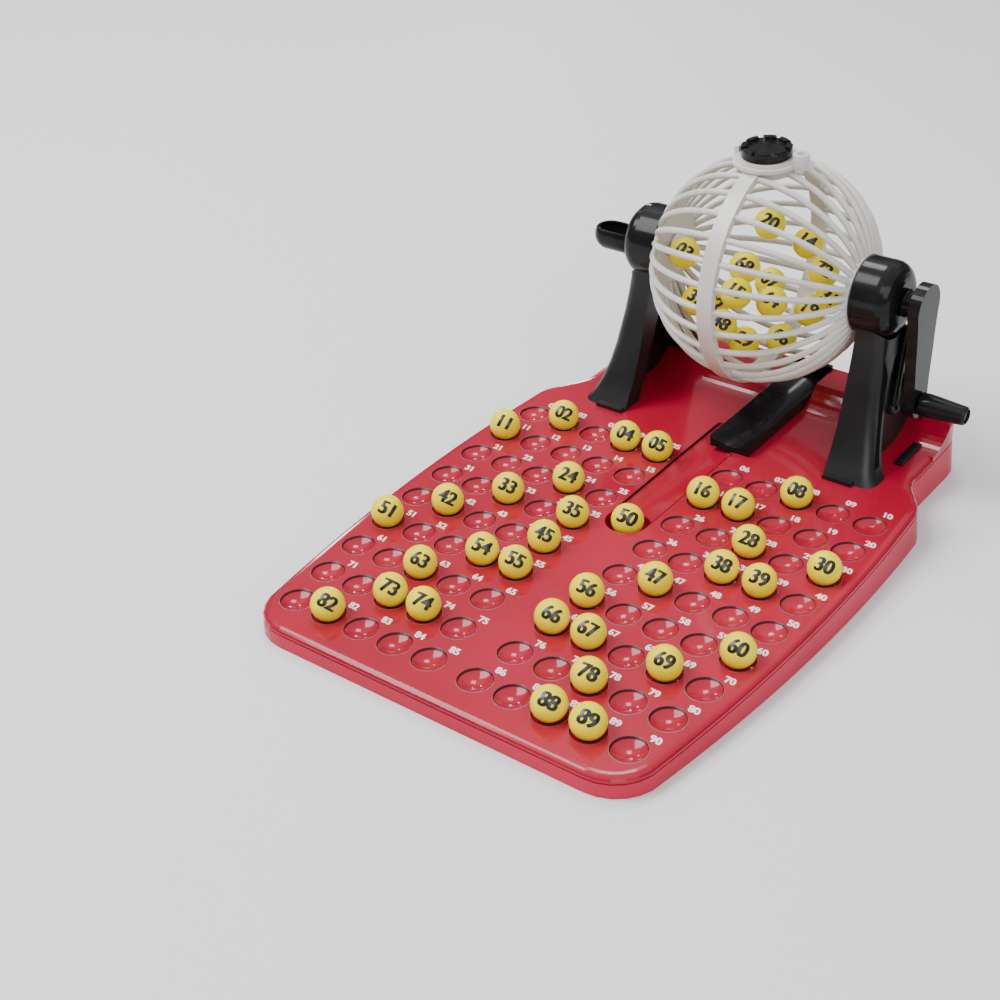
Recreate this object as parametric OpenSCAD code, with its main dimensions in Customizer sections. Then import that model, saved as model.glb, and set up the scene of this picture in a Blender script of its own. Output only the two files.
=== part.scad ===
// Tabletop number-draw cage: a ribbed ball cage on two A-shaped stands, over a
// sloping tray with ninety numbered recesses, a draw chute and a stop pocket.
// Units are millimetres, +Z is up, the front of the tray faces -Y.
// The tray, stands and cage are drawn in the tray's own tilted plane (module
// on_tray), then stood on the table with the origin under the middle.

/* [Tray] */
// Slope of the tray's top plane, rear end higher, degrees
tray_tilt = 2; // [0:0.5:4]
// Height of the top plane over the table at the first row of recesses
row_one_height = 18.9; // [17:0.1:24]
// Half width of the tray top at its widest place
tray_half_w = 121.95; // [118:0.05:125]
// Half width of the rear deck that carries the stands
deck_half_w = 103.5; // [102:0.5:108]
// Distance from the first row to the front edge
tray_front = 228; // [224:1:236]
// Distance from the first row to the rear edge
tray_rear = 122; // [120:1:128]
// Radius of the front corners in plan
front_corner_r = 24; // [12:1:30]
// Radius of the rear corners in plan
rear_corner_r = 26; // [16:1:27]
// Thickness of the top plate
plate_t = 5; // [4.5:0.1:6]
// Depth of the top piece's edge down to the seam
top_edge_h = 3.2; // [3:0.1:4]
// Wall and floor thickness of the lower piece
base_wall = 2.4; // [2:0.1:3]
// Height of the raised rear bank over the top plane
bank_h = 10; // [6:0.5:12]

/* [Recesses] */
// Number of rows of recesses, ten recesses to a row
rows = 9; // [3:1:9]
// Distance between rows
row_pitch = 25.67; // [24:0.01:26]
// Distance between recesses in a row
column_pitch = 20.72; // [19:0.01:20.8]
// Radius of a recess at the top plane
recess_r = 8.47; // [7:0.01:8.6]
// Depth of a recess
recess_depth = 3; // [2:0.1:3.6]

/* [Channel and chute] */
// Depth of the straight channel the drawn ball rolls along
channel_depth = 2.9; // [2:0.1:3.4]
// Half width of the channel between its upright sides
channel_half_w = 11.4; // [10.5:0.1:11.5]
// Radius of the channel's hollow floor
channel_r = 40; // [30:1:60]
// Radius of the round stop pocket
pocket_r = 11.6; // [10.5:0.1:12]
// Depth of the round stop pocket
pocket_depth = 8; // [6:0.1:8.2]
// Distance from the first row forward to the pocket's centre
pocket_forward = 61.7; // [55:0.1:64]
// Distance of the chute's middle to the right of the tray's middle
chute_x = 8.9; // [0:0.1:9]
// Outer width of the black chute
chute_w = 24; // [23.4:0.1:25]
// Overall height of the black chute
chute_h = 12.5; // [11:0.1:14]
// Distance from the first row back to the chute's front end
chute_front = 23.7; // [22:0.1:30]
// Distance from the first row back to the chute's rear end
chute_rear = 118.6; // [110:0.1:119]

/* [Cage] */
// Height of the axle over the tray plane
axle_height = 87.5; // [86:0.1:96]
// Distance of the axle behind the first row
axle_back = 72.2; // [70:0.1:76]
// Outer radius of the ribs
cage_r = 61.8; // [60:0.1:62]
// Number of ribs on each half
ribs = 30; // [20:1:30]
// Thickness of a rib
rib_d = 3.3; // [2.6:0.1:3.3]
// Outer radius of the middle band
band_r = 62.6; // [62:0.1:63.5]
// Lean of the outlet toward the rear, degrees
outlet_lean = -2.5; // [-10:0.5:20]
// Radius of the outlet's bore
outlet_bore_r = 12; // [10:0.1:12.5]

/* [Stands] */
// Distance from the middle to a stand's inner face
stand_in_x = 62.5; // [61.5:0.5:64]
// Radius of a bearing housing
housing_r = 20.3; // [18:0.1:20.6]
// Distance from the middle to a housing's outer face
housing_out_x = 81; // [79:0.5:81]

/* [Crank] */
// Distance from the axle to the handle's pin
crank_throw = 55; // [52:0.5:58]
// Radius of the arm's top end
arm_top_r = 12.6; // [12:0.1:13]
// Radius of the arm's lower end
arm_low_r = 8.2; // [7.5:0.1:8.4]
// Distance from the middle to the arm's outer face
arm_out_x = 94.3; // [93:0.1:95]
// Distance from the middle to the handle's free end
grip_end_x = 120.5; // [110:0.5:121]

/* [Balls] */
// Diameter of a numbered ball
ball_d = 17; // [16:0.1:17]

/* [Hidden] */
$fn = 48;

red = [0.72, 0.16, 0.22];
black = [0.10, 0.10, 0.11];
ivory = [0.89, 0.88, 0.84];
yellow = [0.98, 0.84, 0.10];
steel = [0.70, 0.71, 0.73];

// origin shift that centres the outline on the table
origin_back = 48.128;
ball_r = ball_d / 2;
// small lift that keeps a loose ball from sharing faces with what it sits on
ball_lift = 0.05;
recess_ball_r = (recess_r * recess_r + recess_depth * recess_depth) / (2 * recess_depth);
flare = 0.07;
// numbers of the balls that have been called and lie in their recesses
called = [2, 4, 5, 8, 11, 16, 17, 24, 28, 30, 33, 35, 38, 39, 42, 45, 47, 51, 54, 55, 56,
  60, 63, 66, 67, 69, 73, 74, 78, 82, 88, 89];
// places of the balls inside the cage, from the cage's centre: right, back, up
inside = [[-3, 9, 21], [13, 23, 8], [28, 13, -1], [-43, -12, 3], [-5, -13, 4], [-1, -28, -4],
  [-4, 14, -16], [12, -13, -12], [-31, -18, -20], [-32, 2, -31], [27, 2, -20], [26, 25, -23],
  [-12, -24, -27], [-4, -13, -40], [9, 5, -43], [-8, 23, -33]];
// half widths of the stand's side view over the tray plane, outer then inner edge
leg_out = [[43.5, 0], [39.5, 6], [35, 13], [30.6, 22], [27, 32], [23.6, 42], [20.8, 51],
  [18.4, 60], [16.5, 67], [15.5, 78]];
leg_in = [[29, -1], [25.5, 6], [21.5, 14], [17, 24], [12.5, 35], [7, 48]];
// front view of a stand: distance outward and height
stand_out = [[91, 0], [88, 4], [85.6, 10], [83.2, 20], [81.2, 32], [79.6, 46], [78.4, 60],
  [78, 70], [78, 78]];
screw_spots = [[-100, -190], [100, -190], [-108, -60], [108, -60], [-84, 96], [84, 96]];
arc_steps = 6;
dowel_angles = [24, -36, -96, -156, 144];
shaft_r = 3;
web_x = 78.4;
band_half = 4.3;
hub_in_x = 55.8;
hub_out_x = 58.6;
hub_r = 20.5;
rib_mid_r = cage_r - rib_d / 2;
cage_in_r = cage_r - rib_d;

function sq(v) = v * v;

// half width of the tray top at a distance y behind the first row
function edge_w(y) =
  let (bow = tray_half_w - 0.000483 * sq(y + 61.6))
  y < 22 ? bow
  : y > 55 ? deck_half_w - (y - 55) * 0.015
  : let (w0 = tray_half_w - 0.000483 * sq(83.6), t = (y - 22) / 33)
    w0 + (deck_half_w - w0) * (1 - cos(180 * t)) / 2;

// right half of the outline from front to rear, moved inward by d
function right_edge(d) =
  let (fr = front_corner_r - d, fy = -tray_front + front_corner_r,
       fx = edge_w(fy) - front_corner_r,
       rr = rear_corner_r - d, ry = tray_rear - rear_corner_r,
       rx = edge_w(ry) - rear_corner_r)
  concat(
    [for (i = [0:arc_steps]) let (a = -90 + 90 * i / arc_steps)
      [fx + fr * cos(a), fy + fr * sin(a)]],
    [for (y = [-190:14:20]) [edge_w(y) - d, y]],
    [for (y = [24:3:57]) [edge_w(y) - d, y]],
    [for (y = [66:14:94]) [edge_w(y) - d, y]],
    [for (i = [0:arc_steps]) let (a = 90 * i / arc_steps)
      [rx + rr * cos(a), ry + rr * sin(a)]]);

function mirrored(p) = [for (i = [len(p) - 1:-1:0]) [-p[i][0], p[i][1]]];
function outline(d) = concat(right_edge(d), mirrored(right_edge(d)));

// closed solid through a stack of outlines, each given as [height, inward move]
module stacked(levels) {
  n = len(outline(0));
  m = len(levels);
  pts = [for (l = levels) for (p = outline(l[1])) [p[0], p[1], l[0]]];
  low = [[for (i = [n - 1:-1:0]) i]];
  high = [[for (i = [0:n - 1]) (m - 1) * n + i]];
  sides = [for (k = [0:m - 2]) for (i = [0:n - 1]) for (h = [0, 1])
    let (a = k * n + i, b = k * n + (i + 1) % n)
    h == 0 ? [a, b, b + n] : [a, b + n, a + n]];
  polyhedron(points = pts, faces = concat(low, [for (f = sides) [f[2], f[1], f[0]]], high));
}

module on_tray() {
  translate([0, origin_back, row_one_height]) rotate([tray_tilt, 0, 0]) children();
}

module at_axle() {
  on_tray() translate([0, axle_back, axle_height]) children();
}

module along_x(x0, x1, r) {
  translate([x0, 0, 0]) rotate([0, 90, 0]) cylinder(r = r, h = x1 - x0);
}

module side(s) {
  if (s < 0) mirror([1, 0, 0]) children();
  else children();
}

// a flat outline in the distance-back and height plane, from x0 to x1
module side_view(x0, x1) {
  translate([x0, 0, 0]) rotate([90, 0, 90]) linear_extrude(height = x1 - x0) children();
}

function recess_x(n) =
  let (r = floor((n - 1) / 10), c = (n - 1) % 10,
       first = 23.45 - 0.318 * sq(r - 2.4))
  c < 5 ? -(first + (4 - c) * column_pitch) : first + (c - 5) * column_pitch;
function recess_y(n) = -row_pitch * floor((n - 1) / 10);

function bank_z(y, drop) = y < 78 ? -drop
  : y < 98 ? bank_h * 0.96 * sq((y - 78) / 20) - drop : bank_h - drop;
module bank_profile(drop) {
  polygon(concat([[76, -60], [76, -drop]],
    [for (y = [78:2.5:98]) [y, bank_z(y, drop)]],
    [[140, bank_h - drop], [140, -60]]));
}

module edge_levels(top) {
  stacked([[-top_edge_h, 0], [top - 2.2, 0.15], [top - 1.3, 0.7], [top - 0.6, 1.6],
    [top - 0.2, 2.7], [top, 4.2]]);
}

module tray_top() {
  color(red) on_tray() difference() {
    union() {
      edge_levels(0);
      // plate under the thin edge
      translate([0, 0, -plate_t]) linear_extrude(height = plate_t - top_edge_h + 0.6)
        polygon(outline(base_wall + 1));
      intersection() {
        edge_levels(bank_h);
        side_view(-150, 150) bank_profile(0);
      }
      translate([0, -pocket_forward, -pocket_depth - 1.8]) cylinder(r = pocket_r + 2, h = 4);
    }
    // hollow under the bank, left and right of the chute
    for (s = [-1, 1]) side(s) intersection() {
      translate([25, 84, -7]) cube([73, tray_rear - 84 - 3, 40]);
      side_view(0, 150) bank_profile(plate_t);
      translate([0, 0, -8]) linear_extrude(height = 40) polygon(outline(5.5));
    }
    // ninety recesses
    for (n = [1:rows * 10])
      translate([recess_x(n), recess_y(n), recess_ball_r - recess_depth])
        sphere(r = recess_ball_r);
    // channel, stop pocket and the slot in the bank for the chute
    intersection() {
      translate([0, -pocket_forward, channel_r - channel_depth]) rotate([-90, 0, 0])
        cylinder(r = channel_r, h = pocket_forward + chute_front + 24, $fn = 96);
      translate([-channel_half_w, -pocket_forward - 1, -6])
        cube([2 * channel_half_w, pocket_forward + chute_front + 26, 12]);
    }
    translate([0, -pocket_forward, -pocket_depth]) cylinder(r = pocket_r, h = 20);
    translate([chute_x - chute_w / 2 - 0.3, 60, 0])
      cube([chute_w + 0.6, chute_rear - 60 + 0.3, 40]);
    stand_screw_holes();
  }
}

module tray_base() {
  seam = top_edge_h + 0.9;
  levels = [[-60, -flare * (60 - seam)], [-seam, 0], [-seam, 0.9], [-top_edge_h, 0.9]];
  inner = [[-60, base_wall - flare * (60 - seam)], [-top_edge_h + 1, base_wall + 0.4]];
  color(red) difference() {
    union() {
      difference() {
        intersection() {
          on_tray() stacked(levels);
          translate([-200, -300, 0]) cube([400, 600, 60]);
        }
        intersection() {
          on_tray() stacked(inner);
          translate([-200, -300, 2]) cube([400, 600, 60]);
        }
      }
      // bosses that carry the top piece
      intersection() {
        for (p = screw_spots) translate([p[0], p[1] + origin_back, 1])
          cylinder(r = 5, h = 40);
        on_tray() union() {
          translate([-150, -240, -40]) cube([300, 324, 40 - plate_t]);
          side_view(-150, 150) bank_profile(plate_t);
        }
      }
    }
    for (p = screw_spots) translate([p[0], p[1] + origin_back, -1]) {
      cylinder(r = 3.4, h = 3);
      cylinder(r = 1.5, h = 60);
    }
  }
}

module base_screws() {
  color(steel) for (p = screw_spots) translate([p[0], p[1] + origin_back, 0]) difference() {
    union() {
      translate([0, 0, 0.4]) cylinder(r = 3.1, h = 1.6);
      translate([0, 0, 1.9]) cylinder(r = 1.5, h = p[1] < -100 ? 3.6 : 9);
    }
    for (a = [0, 90]) rotate([0, 0, a]) translate([-2, -0.4, 0]) cube([4, 0.8, 1.2]);
  }
}

module chute() {
  inner = 19;
  floor_t = 3.3;
  color(black) on_tray() translate([chute_x, chute_front, 0]) difference() {
    translate([-chute_w / 2, 0, 0]) cube([chute_w, chute_rear - chute_front, chute_h]);
    // trough with a rounded floor, open at the front
    translate([-inner / 2, -1, floor_t + 2.2])
      cube([inner, chute_rear - chute_front - 1.4, chute_h]);
    translate([0, -1, floor_t + 22]) rotate([-90, 0, 0])
      cylinder(r = 22, h = chute_rear - chute_front - 1.4);
  }
}

function flipped(p) = [for (i = [len(p) - 1:-1:0]) [-p[i][0], p[i][1]]];

module leg_panel() {
  // recess on the outer side of one leg
  n = len(leg_in) - 1;
  polygon(concat([for (i = [1:len(leg_out) - 3]) [-leg_out[i][0] + 6, leg_out[i][1]]],
    [for (i = [n:-1:1]) [-leg_in[i][0] - 2.4, leg_in[i][1]]]));
}

function swapped(p) = [for (q = p) [q[1], q[0]]];

// outline of a stand at height z, its two outer corners rounded
function stand_line(z, r) =
  let (d = lookup(z, swapped(leg_out)), x = lookup(z, swapped(stand_out)))
  concat([[stand_in_x, -d]],
    [for (a = [-90:15:0]) [x - r + r * cos(a), -d + r + r * sin(a)]],
    [for (a = [0:15:90]) [x - r + r * cos(a), d - r + r * sin(a)]],
    [[stand_in_x, d]]);

module stand_body() {
  levels = [0, 3, 7, 13, 22, 32, 42, 51, 60, 69, 78];
  n = len(stand_line(0, 7));
  m = len(levels);
  pts = [for (z = levels) for (p = stand_line(z, 7)) [p[0], p[1], z]];
  sides = [for (k = [0:m - 2]) for (i = [0:n - 1]) for (h = [0, 1])
    let (a = k * n + i, b = k * n + (i + 1) % n)
    h == 0 ? [b + n, b, a] : [a + n, b + n, a]];
  polyhedron(points = pts, faces = concat([[for (i = [0:n - 1]) i]], sides,
    [[for (i = [n - 1:-1:0]) (m - 1) * n + i]]));
}

module stand() {
  on_tray() translate([0, axle_back, 0]) difference() {
    union() {
      difference() {
        stand_body();
        // gap between the legs
        side_view(0, 120) polygon(concat(leg_in, [[0, 57]], flipped(leg_in)));
        // hollow outer sides of the two legs
        side_view(stand_in_x + 5, 120) leg_panel();
        mirror([0, 1, 0]) side_view(stand_in_x + 5, 120) leg_panel();
      }
      // thin web that closes the gap between the legs
      side_view(web_x - 2.4, web_x) polygon([[-30, -1], [-8, 50], [-4, 60], [4, 60], [8, 50],
        [30, -1]]);
      // rod with a ball end on the web's outer side
      translate([web_x + 1.6, -1.3, 25.4]) {
        sphere(r = 3.6);
        rotate([-13.1, 0, 0]) cylinder(r = 1.9, h = 46);
      }
      // foot plate at the front
      translate([stand_in_x + 1, -46, 0]) cube([16.5, 6, 2.2]);
    }
    translate([0, 0, axle_height]) along_x(stand_in_x - 5, 100, housing_r + 0.02);
    // the rear leg stands on the raised bank
    side_view(0, 150) translate([-axle_back, 0]) bank_profile(0);
    translate([0, 0, -5]) cylinder(r = 150, h = 5);
    translate([0, -axle_back, 0]) stand_screw_holes();
  }
}

// shape of a housing in the outward and radius plane
function housing_line(x0, x1, r, round) = concat([[x0, 0], [x0, r]],
  [for (a = [0:15:90]) [x1 - round + round * sin(a), r - round + round * cos(a)]], [[x1, 0]]);

module turned(p) {
  rotate([0, 90, 0]) rotate_extrude() polygon([for (q = p) [q[1], q[0]]]);
}

module housing() {
  x0 = stand_in_x - 2.9;
  difference() {
    turned(housing_line(x0, housing_out_x, housing_r, 9));
    difference() {
      turned(housing_line(x0 - 1, housing_out_x - 2.6, housing_r - 2.6, 7));
      along_x(x0, housing_out_x, 8.5);
    }
    along_x(x0 - 1, stand_in_x + 0.2, 12);
    along_x(x0 - 1, housing_out_x + 1, 5);
  }
}

module bush() {
  difference() {
    union() {
      along_x(stand_in_x - 0.6, housing_out_x - 0.1, 5);
      along_x(stand_in_x - 0.7, stand_in_x + 0.1, 6.4);
    }
    along_x(50, 90, shaft_r + 0.06);
  }
}

module bearing_plate() {
  difference() {
    along_x(stand_in_x - 2.8, stand_in_x - 0.75, housing_r - 2.65);
    along_x(50, 70, shaft_r + 0.5);
  }
}

module stand_clips() {
  color(black) on_tray() difference() {
    for (s = [-1, 1]) side(s) translate([91, axle_back - 1.2, 0]) {
      translate([-2.5, -12, 0]) cube([5, 24, 1.6]);
      translate([-1.3, -10, 1.5]) cube([2.6, 20, 1]);
    }
    side_view(-150, 150) bank_profile(0);
  }
}

module stand_screw_places() {
  for (s = [-1, 1]) side(s) for (y = [axle_back - 33, axle_back + 33])
    translate([stand_in_x + 9, y, y > axle_back ? bank_h : 0]) children();
}

module stand_screw_holes() {
  stand_screw_places() translate([0, 0, -30]) cylinder(r = 1.5, h = 30 + 9);
}

module stand_screws() {
  color(steel) on_tray() stand_screw_places() {
    translate([0, 0, -plate_t - 1.6]) cylinder(r = 3, h = 1.6);
    translate([0, 0, -plate_t - 0.1]) cylinder(r = 1.5, h = plate_t + 8);
  }
}

module cup_solid(r, grow) {
  x_end = 99.5;
  mirror([1, 0, 0]) translate([0, 0, -3]) {
    along_x(housing_out_x - grow, x_end, r);
    translate([x_end, 0, 0]) sphere(r = r);
  }
}

module ball_cup() {
  color(black) at_axle() difference() {
    cup_solid(9, 0);
    cup_solid(7.6, -1.6);
    translate([-130, -30, 1.5]) cube([60, 60, 40]);
  }
}

module rib() {
  rotate([90, 0, 0]) rotate([0, 0, 18]) rotate_extrude(angle = 69.5)
    translate([rib_mid_r, 0]) circle(r = rib_d / 2);
}

module outlet_axis() {
  rotate([-outlet_lean, 0, 0]) children();
}

module dowel_places() {
  for (a = dowel_angles) rotate([a, 0, 0]) translate([0, band_r - 2.1, 0]) children();
}

module collar_hole() {
  outlet_axis() translate([0, 0, 40]) cylinder(r = 15.55, h = 40);
}

module cage_band() {
  difference() {
    along_x(0, band_half, band_r);
    along_x(-1, 10, cage_in_r);
    collar_hole();
    dowel_places() along_x(-1, 3.2, 1.1);
  }
}

module cage_hub() {
  difference() {
    along_x(hub_in_x, hub_out_x, hub_r);
    along_x(hub_in_x - 1, hub_out_x + 1, shaft_r);
  }
}

module cage_ribs() {
  difference() {
    for (i = [0:ribs - 1]) rotate([360 / ribs * (i + 0.5), 0, 0]) rib();
    along_x(-1, band_half, 80);
    along_x(50, 70, hub_r);
    collar_hole();
  }
}

module cage_dowels() {
  color(ivory) at_axle() dowel_places() along_x(-3.1, 3.1, 1.1);
}

module outlet_collar() {
  color(ivory) at_axle() outlet_axis() difference() {
    union() {
      translate([0, 0, 56.8]) cylinder(r = 15.5, h = 7.6);
      translate([0, 0, 60.8]) cylinder(r = 17.6, h = 2.2);
      // hinge-like boss on the right
      translate([19.8, 0, 60.8]) cylinder(r = 4.2, h = 8);
      translate([13.8, -2.4, 60.9]) cube([6, 4.8, 3.4]);
      // ear on the left
      translate([-16.9, -3.6, 60.9]) cube([2.7, 7.2, 6.4]);
      translate([22.8, -1.6, 60.8]) cube([3.4, 3.2, 4.6]);
    }
    translate([0, 0, 50]) cylinder(r = outlet_bore_r, h = 30);
    translate([19.8, 0, 66.4]) cylinder(r = 2.1, h = 5);
  }
}

module outlet_cap() {
  teeth = 8;
  color(black) at_axle() outlet_axis() difference() {
    union() {
      translate([0, 0, 60]) cylinder(r = outlet_bore_r - 0.1, h = 5);
      translate([0, 0, 64.7]) cylinder(r = 13.2, h = 4.6);
      translate([0, 0, 69.2]) cylinder(r = 12.6, h = 0.7);
    }
    translate([0, 0, 59]) cylinder(r = 9.6, h = 4);
    translate([0, 0, 68.4]) cylinder(r = 9.8, h = 5);
    for (i = [0:teeth - 1]) rotate([0, 0, 360 / teeth * i]) translate([8, -1.5, 68.3])
      cube([8, 3, 5]);
  }
}

module left_axle() {
  color(steel) at_axle() mirror([1, 0, 0]) {
    along_x(hub_in_x - 1.6, hub_in_x, 8);
    along_x(hub_in_x - 0.1, housing_out_x - 2, shaft_r);
  }
}

module crank_shaft() {
  color(steel) at_axle() {
    along_x(hub_in_x - 1.6, hub_in_x, 8);
    along_x(hub_in_x - 0.1, arm_out_x - 1.4, shaft_r);
  }
}

module crank_hub() {
  color(black) at_axle() difference() {
    union() {
      along_x(housing_out_x + 0.5, housing_out_x + 2.7, 7.4);
      along_x(housing_out_x + 2.6, arm_out_x - 6.1, 6.6);
    }
    along_x(70, 100, shaft_r);
  }
}

// outline of the crank arm, moved inward by d
module arm_outline(d) {
  waist = [[11.3, -9], [10.6, -15], [9.9, -28], [8.4, -43]];
  polygon(concat(
    [for (a = [-20:10:200]) [(arm_top_r - d) * cos(a), (arm_top_r - d) * sin(a)]],
    [for (w = waist) [d - w[0], w[1]]],
    [for (a = [180:15:360]) [(arm_low_r - d) * cos(a), (arm_low_r - d) * sin(a) - crank_throw]],
    [for (i = [3:-1:0]) [waist[i][0] - d, waist[i][1]]]));
}

module crank_arm() {
  x0 = arm_out_x - 6.1;
  color(black) at_axle() difference() {
    side_view(x0, arm_out_x) arm_outline(0);
    difference() {
      side_view(x0 - 1, arm_out_x - 2.2) arm_outline(1.8);
      along_x(x0 - 2, arm_out_x, 7);
      translate([0, 0, -crank_throw]) along_x(x0 - 2, arm_out_x, 4.6);
    }
    along_x(x0 - 1, arm_out_x - 1.4, shaft_r);
    translate([0, 0, -crank_throw]) along_x(x0 - 1, arm_out_x + 1, 2.4);
  }
}

module handle_pin() {
  color(black) at_axle() translate([0, 0, -crank_throw]) {
    along_x(arm_out_x - 6.1, grip_end_x - 2.4, 2.4);
    along_x(grip_end_x - 2.5, grip_end_x - 1, 3.5);
  }
}

module handle_grip() {
  x0 = arm_out_x + 0.35;
  x1 = grip_end_x;
  color(black) at_axle() translate([0, 0, -crank_throw]) difference() {
    turned(concat([[x0, 0], [x0, 5.2], [x0 + 0.6, 6.3], [x0 + 5, 6.4]],
      [for (a = [0:15:90]) [x1 - 1.8 + 1.8 * sin(a), 3.3 + 1.8 * cos(a)]], [[x1, 0]]));
    along_x(x0 - 1, x1 + 1, 2.46);
    along_x(x1 - 2.8, x1 + 1, 3.7);
  }
}

module ball() {
  sphere(r = ball_r);
}

module tray_balls() {
  color(yellow) on_tray() for (n = called)
    translate([recess_x(n), recess_y(n), ball_r - recess_depth + ball_lift]) ball();
}

module drawn_ball() {
  color(yellow) on_tray()
    translate([0, -pocket_forward, ball_r - pocket_depth + ball_lift]) ball();
}

module caged_balls() {
  color(yellow) at_axle() for (p = inside) translate(p) ball();
}

tray_top();
tray_base();
base_screws();
chute();
color(black) side(-1) stand();  // left_stand
color(black) side(1) stand();  // right_stand
color(black) at_axle() side(-1) housing();  // left_housing
color(black) at_axle() side(1) housing();  // right_housing
color(ivory) at_axle() side(-1) bush();  // left_bush
color(ivory) at_axle() side(1) bush();  // right_bush
color(black) at_axle() side(-1) bearing_plate();  // left_bearing_plate
color(black) at_axle() side(1) bearing_plate();  // right_bearing_plate
stand_clips();
stand_screws();
ball_cup();
color(ivory) at_axle() side(-1) cage_band();  // cage_left_band
color(ivory) at_axle() side(1) cage_band();  // cage_right_band
color(ivory) at_axle() side(-1) cage_hub();  // cage_left_hub
color(ivory) at_axle() side(1) cage_hub();  // cage_right_hub
color(ivory) at_axle() side(-1) cage_ribs();  // cage_left_ribs
color(ivory) at_axle() side(1) cage_ribs();  // cage_right_ribs
cage_dowels();
outlet_collar();
outlet_cap();
left_axle();
crank_shaft();
crank_hub();
crank_arm();
handle_pin();
handle_grip();
tray_balls();
drawn_ball();
caged_balls();
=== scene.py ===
import math
import bpy
import bmesh
from mathutils import Matrix, Vector


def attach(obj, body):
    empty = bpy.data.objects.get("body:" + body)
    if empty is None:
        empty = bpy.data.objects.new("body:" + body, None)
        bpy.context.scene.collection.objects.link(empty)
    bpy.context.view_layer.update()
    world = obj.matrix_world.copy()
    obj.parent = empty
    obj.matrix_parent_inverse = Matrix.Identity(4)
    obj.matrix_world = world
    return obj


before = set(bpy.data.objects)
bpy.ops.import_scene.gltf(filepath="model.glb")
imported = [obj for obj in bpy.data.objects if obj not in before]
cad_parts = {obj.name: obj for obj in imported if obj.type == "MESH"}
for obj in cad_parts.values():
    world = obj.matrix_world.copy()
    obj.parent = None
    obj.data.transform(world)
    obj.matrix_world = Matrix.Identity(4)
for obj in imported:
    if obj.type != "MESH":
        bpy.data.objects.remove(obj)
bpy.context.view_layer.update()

# ---------------------------------------------------------------- sizes of the part, in millimetres
# These are the part's own driving sizes, in the tilted plane of the tray top.
MM = 0.001
TRAY_TILT = math.radians(2.0)
TRAY_ORIGIN = (0, 48.128, 18.9)
AXLE = Vector((0, 72.2, 87.5))
BALL_R = 8.5
BALL_LIFT = 0.05
COLUMN_PITCH = 20.72
ROW_PITCH = 25.67
# the two middle columns stand furthest apart at FAN_ROW and close in to both ends
MIDDLE_COLUMN_X = 23.45
FAN_ROW = 2.4
FAN = 0.318
RECESS_R = 8.47
RECESS_DEPTH = 3.0
POCKET_Y = -61.7
POCKET_DEPTH = 8.0
LAST_NUMBER = 90

CALLED = [2, 4, 5, 8, 11, 16, 17, 24, 28, 30, 33, 35, 38, 39, 42, 45, 47, 51, 54, 55, 56,
          60, 63, 66, 67, 69, 73, 74, 78, 82, 88, 89]
DRAWN = 50
# balls in the cage: place from the cage's centre (right, back, up) and number
INSIDE = [(-3, 9, 21, 20), (13, 23, 8, 14), (28, 13, -1, 72), (-43, -12, 3, 3),
          (-5, -13, 4, 68), (-1, -28, -4, 15), (-4, 14, -16, 7), (12, -13, -12, 64),
          (-31, -18, -20, 37), (-32, 2, -31, 22), (27, 2, -20, 19), (26, 25, -23, 31),
          (-12, -24, -27, 48), (-4, -13, -40, 29), (9, 5, -43, 6), (-8, 23, -33, 65)]

ON_TRAY = (Matrix.Translation([v * MM for v in TRAY_ORIGIN])
           @ Matrix.Rotation(TRAY_TILT, 4, "X"))


def tray(x, y, z):
    """A point given in the tray's plane, in millimetres, as a point of the frame in metres."""
    return ON_TRAY @ Vector((x * MM, y * MM, z * MM))


def recess(n):
    """Middle of the recess with number n, in the tray's plane."""
    row, column = divmod(n - 1, 10)
    first = MIDDLE_COLUMN_X - FAN * (row - FAN_ROW) ** 2
    if column < 5:
        return -(first + (4 - column) * COLUMN_PITCH), -ROW_PITCH * row
    return first + (column - 5) * COLUMN_PITCH, -ROW_PITCH * row


# ---------------------------------------------------------------- materials
BUMP_DISTANCE = 0.0004
COLOUR_RAMP = (0.35, 0.65)
# scale of the uneven gloss, as a multiple of the colour drift's
GLOSS_SCALE = 2.3


def new_material(name):
    m = bpy.data.materials.new(name)
    m.use_nodes = True
    return m, m.node_tree, m.node_tree.nodes["Principled BSDF"]


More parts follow.
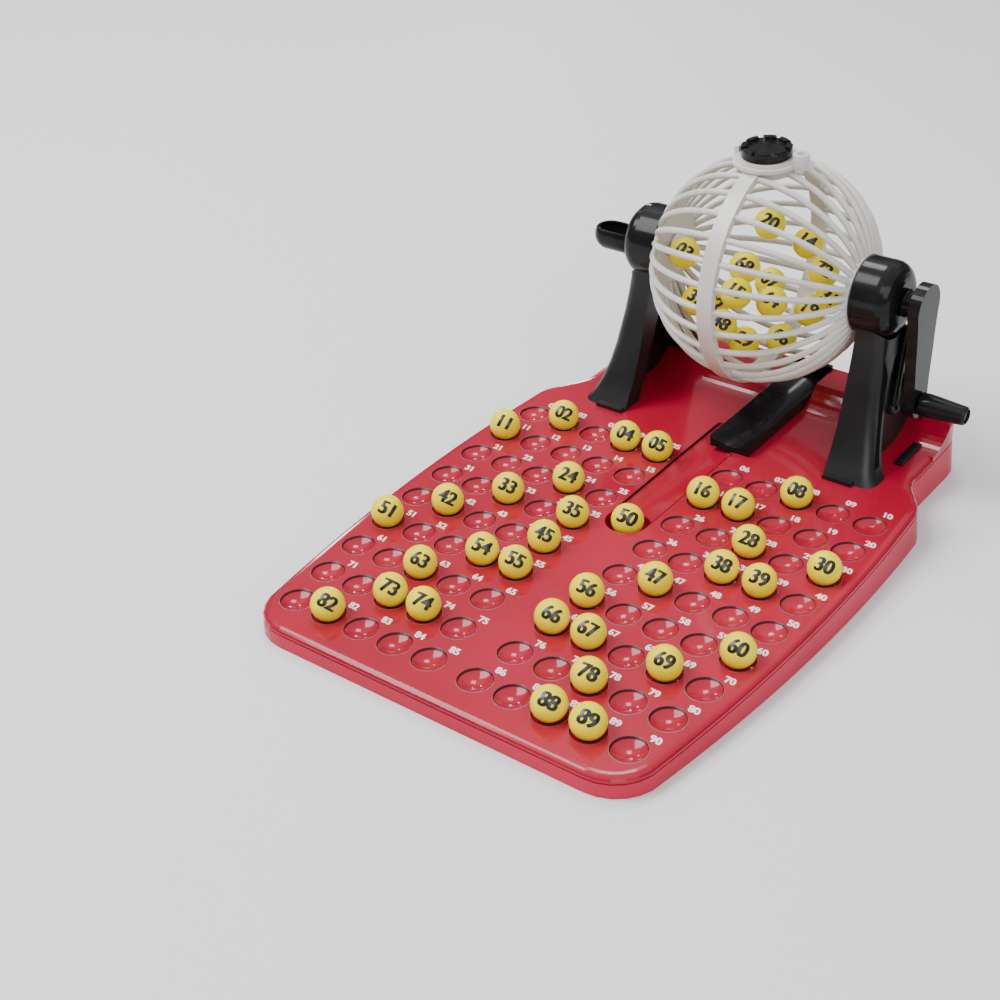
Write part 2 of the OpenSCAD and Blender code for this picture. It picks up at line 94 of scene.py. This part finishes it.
def plastic(name, dark, light, rough, scale, bump, bump_scale, coat=0.0, coat_rough=0.05,
            spec=0.5):
    """Moulded plastic: slow drift between two close colours, uneven gloss, very fine surface."""
    m, nt, bsdf = new_material(name)
    place = nt.nodes.new("ShaderNodeTexCoord")

    def noise(noise_scale, detail):
        n = nt.nodes.new("ShaderNodeTexNoise")
        n.inputs["Scale"].default_value = noise_scale
        n.inputs["Detail"].default_value = detail
        nt.links.new(place.outputs["Object"], n.inputs["Vector"])
        return n.outputs["Fac"]

    colours = nt.nodes.new("ShaderNodeValToRGB")
    for element, position, colour in zip(colours.color_ramp.elements, COLOUR_RAMP,
                                         (dark, light)):
        element.position = position
        element.color = (*colour, 1)
    nt.links.new(noise(scale, 4.0), colours.inputs["Fac"])
    nt.links.new(colours.outputs["Color"], bsdf.inputs["Base Color"])

    gloss = nt.nodes.new("ShaderNodeMapRange")
    gloss.inputs["To Min"].default_value = rough[0]
    gloss.inputs["To Max"].default_value = rough[1]
    nt.links.new(noise(scale * GLOSS_SCALE, 6.0), gloss.inputs["Value"])
    nt.links.new(gloss.outputs["Result"], bsdf.inputs["Roughness"])

    relief = nt.nodes.new("ShaderNodeBump")
    relief.inputs["Strength"].default_value = bump
    relief.inputs["Distance"].default_value = BUMP_DISTANCE
    nt.links.new(noise(bump_scale, 3.0), relief.inputs["Height"])
    nt.links.new(relief.outputs["Normal"], bsdf.inputs["Normal"])

    bsdf.inputs["Coat Weight"].default_value = coat
    bsdf.inputs["Coat Roughness"].default_value = coat_rough
    bsdf.inputs["Specular IOR Level"].default_value = spec
    return m


RED = plastic("red_gloss", (0.31, 0.005, 0.022), (0.36, 0.007, 0.029), rough=(0.09, 0.15),
              scale=14.0, bump=0.012, bump_scale=500.0, coat=0.14, coat_rough=0.04, spec=0.28)
# the tray's red for the base, painted lighter than the top's for the light on the base's sides
RED_BASE_PAINTED_LIT = plastic("red_base_painted_lit_gloss", (0.48, 0.020, 0.052), (0.54, 0.026, 0.064),
                   rough=(0.24, 0.34), scale=14.0, bump=0.015, bump_scale=600.0, coat=0.03,
                   coat_rough=0.12, spec=0.12)
BLACK = plastic("black_gloss", (0.006, 0.006, 0.007), (0.012, 0.012, 0.013),
                rough=(0.10, 0.2), scale=40.0, bump=0.02, bump_scale=700.0, coat=0.06,
                coat_rough=0.05, spec=0.14)
SATIN_BLACK = plastic("black_satin", (0.009, 0.009, 0.010), (0.014, 0.014, 0.015),
                      rough=(0.30, 0.40), scale=40.0, bump=0.03, bump_scale=700.0, coat=0.04,
                      coat_rough=0.2, spec=0.26)
IVORY = plastic("ivory_satin", (0.55, 0.535, 0.505), (0.61, 0.595, 0.565), rough=(0.26, 0.36),
                scale=50.0, bump=0.03, bump_scale=800.0, coat=0.15, coat_rough=0.2)
BUSH = plastic("bush_matte", (0.50, 0.49, 0.45), (0.56, 0.55, 0.50), rough=(0.4, 0.5),
               scale=50.0, bump=0.03, bump_scale=800.0)
YELLOW = plastic("yellow_gloss", (0.86, 0.70, 0.001), (0.90, 0.75, 0.002), rough=(0.10, 0.18),
                 scale=90.0, bump=0.01, bump_scale=900.0, coat_rough=0.03, spec=0.10)
INK = plastic("black_ink", (0.008, 0.008, 0.008), (0.014, 0.013, 0.012), rough=(0.25, 0.35),
              scale=300.0, bump=0.03, bump_scale=2500.0)
WHITE_INK = plastic("white_ink", (0.72, 0.68, 0.68), (0.82, 0.79, 0.79), rough=(0.3, 0.4),
                    scale=300.0, bump=0.03, bump_scale=2500.0)
# painted shade: dark red-black for the shade on the recesses' rims and along the channel's edges
PAINTED_SHADE_RIM = plastic("recess_painted_shade", (0.014, 0.002, 0.003), (0.024, 0.003, 0.004),
                   rough=(0.3, 0.4), scale=200.0, bump=0.02, bump_scale=900.0, spec=0.2)
# painted highlight: light greyish red for the light caught on the recesses' front rims
PAINTED_HIGHLIGHT_RIM = plastic("recess_painted_highlight", (0.17, 0.040, 0.052), (0.21, 0.050, 0.064),
                   rough=(0.3, 0.4), scale=200.0, bump=0.02, bump_scale=900.0)
STEEL = plastic("bright_steel", (0.55, 0.56, 0.57), (0.62, 0.63, 0.64), rough=(0.2, 0.3),
                scale=300.0, bump=0.05, bump_scale=2500.0)
STEEL.node_tree.nodes["Principled BSDF"].inputs["Metallic"].default_value = 1.0

LOOKS = [
    (RED, ["tray_top"]),
    (RED_BASE_PAINTED_LIT, ["tray_base"]),
    (SATIN_BLACK, ["left_stand", "right_stand"]),
    (BLACK, ["chute", "left_housing", "right_housing", "left_bearing_plate",
             "right_bearing_plate", "stand_clips", "ball_cup", "outlet_cap", "crank_hub",
             "crank_arm", "handle_pin", "handle_grip"]),
    (BUSH, ["left_bush", "right_bush"]),
    (IVORY, ["cage_left_band", "cage_right_band", "cage_left_hub", "cage_right_hub",
             "cage_left_ribs", "cage_right_ribs", "cage_dowels", "outlet_collar"]),
    (STEEL, ["base_screws", "stand_screws", "left_axle", "crank_shaft"]),
    (YELLOW, ["tray_balls", "drawn_ball", "caged_balls"]),
]
for material, names in LOOKS:
    for name in names:
        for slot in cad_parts[name].material_slots:
            slot.material = material


# ---------------------------------------------------------------- small mesh helpers
def mesh_object(name, verts, faces, material, smooth=True):
    me = bpy.data.meshes.new(name)
    me.from_pydata([tuple(v) for v in verts], [], faces)
    me.materials.append(material)
    me.polygons.foreach_set("use_smooth", [smooth] * len(me.polygons))
    me.update()
    o = bpy.data.objects.new(name, me)
    bpy.context.scene.collection.objects.link(o)
    return o


def join(name, parts, material, smooth=True):
    """One object from several (points, faces) pairs."""
    verts, faces = [], []
    for v, f in parts:
        first = len(verts)
        verts += v
        faces += [[i + first for i in g] for g in f]
    return mesh_object(name, verts, faces, material, smooth)


# ---------------------------------------------------------------- figures
STROKE_OFFSET = 0.02
CURVE_STEPS = 6
FIGURE_WIDTH = 0.94
GRID_LINES = 12


def glyph(text, shear, grid):
    """Flat figures of height 1 as (points, faces).

    With a grid step they are cut into squares, so that they bend smoothly over a ball.
    """
    cu = bpy.data.curves.new("glyph", "FONT")
    cu.body = text
    cu.align_x = "CENTER"
    cu.offset = STROKE_OFFSET
    cu.shear = shear
    cu.resolution_u = CURVE_STEPS
    ob = bpy.data.objects.new("glyph", cu)
    bpy.context.scene.collection.objects.link(ob)
    me = ob.to_mesh()
    bm = bmesh.new()
    bm.from_mesh(me)
    ob.to_mesh_clear()
    bpy.data.objects.remove(ob)
    bpy.data.curves.remove(cu)
    xs = [v.co.x for v in bm.verts]
    ys = [v.co.y for v in bm.verts]
    h = max(ys) - min(ys)
    cx, cy = (max(xs) + min(xs)) / 2, (max(ys) + min(ys)) / 2
    for v in bm.verts:
        v.co = Vector(((v.co.x - cx) / h, (v.co.y - cy) / h, 0))
    if grid:
        for k in range(-GRID_LINES, GRID_LINES + 1):
            for d in (Vector((1, 0, 0)), Vector((0, 1, 0))):
                bmesh.ops.bisect_plane(bm, geom=bm.verts[:] + bm.edges[:] + bm.faces[:],
                                       plane_co=d * (k * grid), plane_no=d)
    bmesh.ops.triangulate(bm, faces=bm.faces[:])
    out = [v.co.copy() for v in bm.verts], [[v.index for v in f.verts] for f in bm.faces]
    bm.free()
    return out


def heavy(v, f, gap, low, rise):
    """Three copies side by side, so that the strokes are heavier.

    The first lies at height low over the surface, and each next one lies higher by rise, so
    that no two faces share a plane.
    """
    points, faces = [], []
    for i, dx in enumerate((-gap, 0.0, gap)):
        first = len(points)
        points += [Vector((p.x * FIGURE_WIDTH + dx, p.y, low + rise * i)) for p in v]
        faces += [[j + first for j in g] for g in f]
    return points, faces


# ---------------------------------------------------------------- numbers on the balls
# the point that the numbers face, in the tray's plane, and how far they look up from it
NUMBERS_FACE = Vector((390.9, -639.85, 471.15))
LOOK_UP = 0.22
BALL_NUMBER_H = 7.5
DRAWN_NUMBER_H = 8.2
# turn of a number about the line from the ball's middle to the number, degrees
BALL_NUMBER_TURN = 1.5
CAGED_NUMBER_TURN = -12.5


def on_ball(centre, number, height=BALL_NUMBER_H, turn=BALL_NUMBER_TURN):
    """A two-figure number wrapped on a ball, facing forward and up."""
    n = (NUMBERS_FACE - centre).normalized()
    n = (n + Vector((0, 0, LOOK_UP))).normalized()
    t = Vector((1, 0, 0))
    t = (t - n * t.dot(n)).normalized()
    b = n.cross(t)
    rot = Matrix.Rotation(math.radians(turn), 3, n)
    t, b = rot @ t, rot @ b
    v, f = heavy(*glyph("%02d" % number, shear=0.12, grid=0.14), gap=0.045, low=0.03,
                 rise=0.012)
    out = []
    for p in v:
        u, w = p.x * height, p.y * height
        r = math.hypot(u, w)
        k = math.sin(r / BALL_R) / (r / BALL_R) if r > 1e-6 else 1.0
        d = (t * (u * k) + b * (w * k) + n * (BALL_R * math.cos(r / BALL_R))).normalized()
        out.append(tray(*(centre + d * (BALL_R + p.z))))
    return out, f


balls = [(Vector((*recess(n), BALL_R - RECESS_DEPTH + BALL_LIFT)), n) for n in CALLED]
o = join("called_ball_numbers", [on_ball(c, n) for c, n in balls], INK)
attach(o, "called_balls")
drawn_centre = Vector((0, POCKET_Y, BALL_R - POCKET_DEPTH + BALL_LIFT))
o = join("pocket_ball_number", [on_ball(drawn_centre, DRAWN, DRAWN_NUMBER_H)], INK)
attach(o, "pocket_ball")
o = join("cage_ball_numbers", [on_ball(AXLE + Vector(b[:3]), b[3], turn=CAGED_NUMBER_TURN)
                               for b in INSIDE], INK)
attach(o, "balls_in_cage")

# ---------------------------------------------------------------- print and lines on the tray
LABEL_H = 4.4
# from the middle of a recess to the middle of its number
FIRST_ROW_LABEL = (3.7, 12.8)
OTHER_LABEL = (6.4, 11.1)

parts = []
for n in range(1, LAST_NUMBER + 1):
    x, y = recess(n)
    v, f = heavy(*glyph("%02d" % n, shear=-0.24, grid=0), gap=0.035, low=0.05, rise=0.01)
    dx, dy = FIRST_ROW_LABEL if n <= 10 else OTHER_LABEL
    parts.append(([tray(x + dx + p.x * LABEL_H, y + dy + p.y * LABEL_H, p.z) for p in v], f))
o = join("tray_numbers", parts, WHITE_INK, smooth=False)
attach(o, "tray")

# painted rims on the edges of the recesses: a dark one of painted shade, widest at the rear left,
# and a soft light one of painted highlight, widest at the front right
BOWL_R = (RECESS_R ** 2 + RECESS_DEPTH ** 2) / (2 * RECESS_DEPTH)
SURFACE_GAP = 0.05
RIM_STEPS = 48
RIM_RINGS = 4
RIM_FALLOFF = 0.7


def bowl_z(r):
    """Height just over a recess's surface, or over the plane round it, at the radius r."""
    r = min(r, RECESS_R)
    return BOWL_R - RECESS_DEPTH - math.sqrt(BOWL_R ** 2 - r ** 2) + SURFACE_GAP


def crescent(x, y, widest_at, inner, outer, least, grow):
    """A ring on a recess's edge, least wide plus up to grow wider at one angle, in degrees.

    Either its inner or its outer radius is given. The other follows from the width.
    """
    v, f = [], []
    for i in range(RIM_STEPS):
        a = 2 * math.pi * i / RIM_STEPS
        w = least + grow * max(0.0, math.cos(a - math.radians(widest_at))) ** RIM_FALLOFF
        r0, r1 = (outer - w, outer) if inner is None else (inner, inner + w)
        for k in range(RIM_RINGS):
            r = r0 + (r1 - r0) * k / (RIM_RINGS - 1)
            v.append(tray(x + r * math.cos(a), y + r * math.sin(a), bowl_z(r)))
    for i in range(RIM_STEPS):
        j = (i + 1) % RIM_STEPS
        for k in range(RIM_RINGS - 1):
            f.append([i * RIM_RINGS + k, i * RIM_RINGS + k + 1,
                      j * RIM_RINGS + k + 1, j * RIM_RINGS + k])
    return v, f


places = [recess(n) for n in range(1, LAST_NUMBER + 1)]
RIMS = [
    ("recess_painted_shade_rims", PAINTED_SHADE_RIM,
     dict(widest_at=140, inner=None, outer=8.6, least=0.38, grow=0.9)),
    ("recess_painted_highlight_rims", PAINTED_HIGHLIGHT_RIM,
     dict(widest_at=-58, inner=8.58, outer=None, least=0.12, grow=0.75)),
]
for name, material, ring in RIMS:
    o = join(name, [crescent(x, y, **ring) for x, y in places], material)
    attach(o, "tray")

# painted shade along the channel's two upright sides: each is a dark strip over the side's edge
LINE_ENDS = (-58.5, 46)
LINE_SECTION = ((11.15, -0.9), (11.3, 0.04), (11.75, 0.04))
parts = []
for s in (-1, 1):
    v = [tray(s * x, y, z) for y in LINE_ENDS for x, z in LINE_SECTION]
    parts.append((v, [[0, 1, 4, 3], [1, 2, 5, 4]]))
o = join("channel_painted_shade_lines", parts, PAINTED_SHADE_RIM, smooth=False)
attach(o, "tray")

# ---------------------------------------------------------------- softened edges
MERGE_DISTANCE = 0.00001
SHARP_ANGLE = math.radians(40)
BEVEL_WIDTHS = {"tray_base": 0.4, "left_stand": 0.4, "right_stand": 0.4, "chute": 0.35,
                "crank_arm": 0.5, "outlet_cap": 0.35, "outlet_collar": 0.35,
                "handle_grip": 0.4, "crank_hub": 0.3, "stand_clips": 0.3, "ball_cup": 0.3}
# lofted pieces, whose flat facets are shaded as one curve
LOFTED = ("tray_base", "left_stand", "right_stand")
for name, width in BEVEL_WIDTHS.items():
    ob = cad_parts[name]
    weld = ob.modifiers.new("weld", "WELD")
    weld.merge_threshold = MERGE_DISTANCE
    bevel = ob.modifiers.new("bevel", "BEVEL")
    bevel.width = width * MM
    bevel.segments = 2
    bevel.limit_method = "ANGLE"
    bevel.angle_limit = SHARP_ANGLE
    if name in LOFTED:
        ob.data.polygons.foreach_set("use_smooth", [True] * len(ob.data.polygons))
        weighted = ob.modifiers.new("weighted", "WEIGHTED_NORMAL")
        weighted.keep_sharp = False

# ---------------------------------------------------------------- floor, lights, camera
# extents in metres; the floor lies just under the feet
FLOOR_X = (-7, 7)
FLOOR_Y = (-5, 12)
FLOOR_Z = -0.0002
m, nt, bsdf = new_material("floor_pale")
bsdf.inputs["Base Color"].default_value = (0.72, 0.73, 0.74, 1)
bsdf.inputs["Roughness"].default_value = 0.6
floor = mesh_object("floor", [(FLOOR_X[0], FLOOR_Y[0], FLOOR_Z), (FLOOR_X[1], FLOOR_Y[0], FLOOR_Z),
                              (FLOOR_X[1], FLOOR_Y[1], FLOOR_Z),
                              (FLOOR_X[0], FLOOR_Y[1], FLOOR_Z)],
                    [[0, 1, 2, 3]], m, smooth=False)

LIGHTS_AIM = Vector((0, 0.05, 0.05))


def area_light(name, place, width, height, watts):
    light = bpy.data.lights.new(name, "AREA")
    light.energy = watts
    light.shape = "RECTANGLE"
    light.size = width
    light.size_y = height
    ob = bpy.data.objects.new(name, light)
    ob.location = place
    ob.rotation_euler = (LIGHTS_AIM - Vector(place)).to_track_quat("-Z", "Y").to_euler()
    bpy.context.scene.collection.objects.link(ob)


area_light("key", (-1.2, -0.7, 1.9), 1.3, 1.3, 62)
area_light("fill", (1.5, -1.1, 1.3), 1.5, 1.5, 26)
area_light("top", (-0.65, 0.85, 1.75), 0.5, 0.5, 11)
# two small lights that put the sparkles into the recesses
area_light("spark_low", (-1.22, 1.52, 0.58), 0.10, 0.30, 2.2)
area_light("spark_side", (-1.53, 0.96, 0.88), 0.10, 0.22, 1.8)

# the world: dark low down, white overhead
WORLD_STRENGTH = 1.15
world = bpy.data.worlds.new("studio")
world.use_nodes = True
nt = world.node_tree
direction = nt.nodes.new("ShaderNodeTexCoord")
split = nt.nodes.new("ShaderNodeSeparateXYZ")
nt.links.new(direction.outputs["Generated"], split.inputs["Vector"])
sky = nt.nodes.new("ShaderNodeValToRGB")
sky.color_ramp.elements[0].position = 0.36
sky.color_ramp.elements[0].color = (0.10, 0.10, 0.105, 1)
sky.color_ramp.elements[1].position = 0.72
sky.color_ramp.elements[1].color = (1.0, 1.0, 1.0, 1)
middle = sky.color_ramp.elements.new(0.52)
middle.color = (0.34, 0.34, 0.35, 1)
nt.links.new(split.outputs["Z"], sky.inputs["Fac"])
background = nt.nodes["Background"]
nt.links.new(sky.outputs["Color"], background.inputs["Color"])
background.inputs["Strength"].default_value = WORLD_STRENGTH
bpy.context.scene.world = world

CAMERA_PLACE = (0.3909, -0.60777, 0.4674)
CAMERA_FORWARD = Vector((-0.5310, 0.6661, -0.5238)).normalized()
CAMERA_UP = Vector((-0.2972, 0.4326, 0.8514))
cam = bpy.data.cameras.new("camera")
cam.lens = 59.12
cam.sensor_width = 36
cam.clip_start = 0.01
cam_ob = bpy.data.objects.new("camera", cam)
bpy.context.scene.collection.objects.link(cam_ob)
up = (CAMERA_UP - CAMERA_FORWARD * CAMERA_UP.dot(CAMERA_FORWARD)).normalized()
right = CAMERA_FORWARD.cross(up)
mat = Matrix((right, up, -CAMERA_FORWARD)).transposed().to_4x4()
mat.translation = CAMERA_PLACE
cam_ob.matrix_world = mat
bpy.context.scene.camera = cam_ob
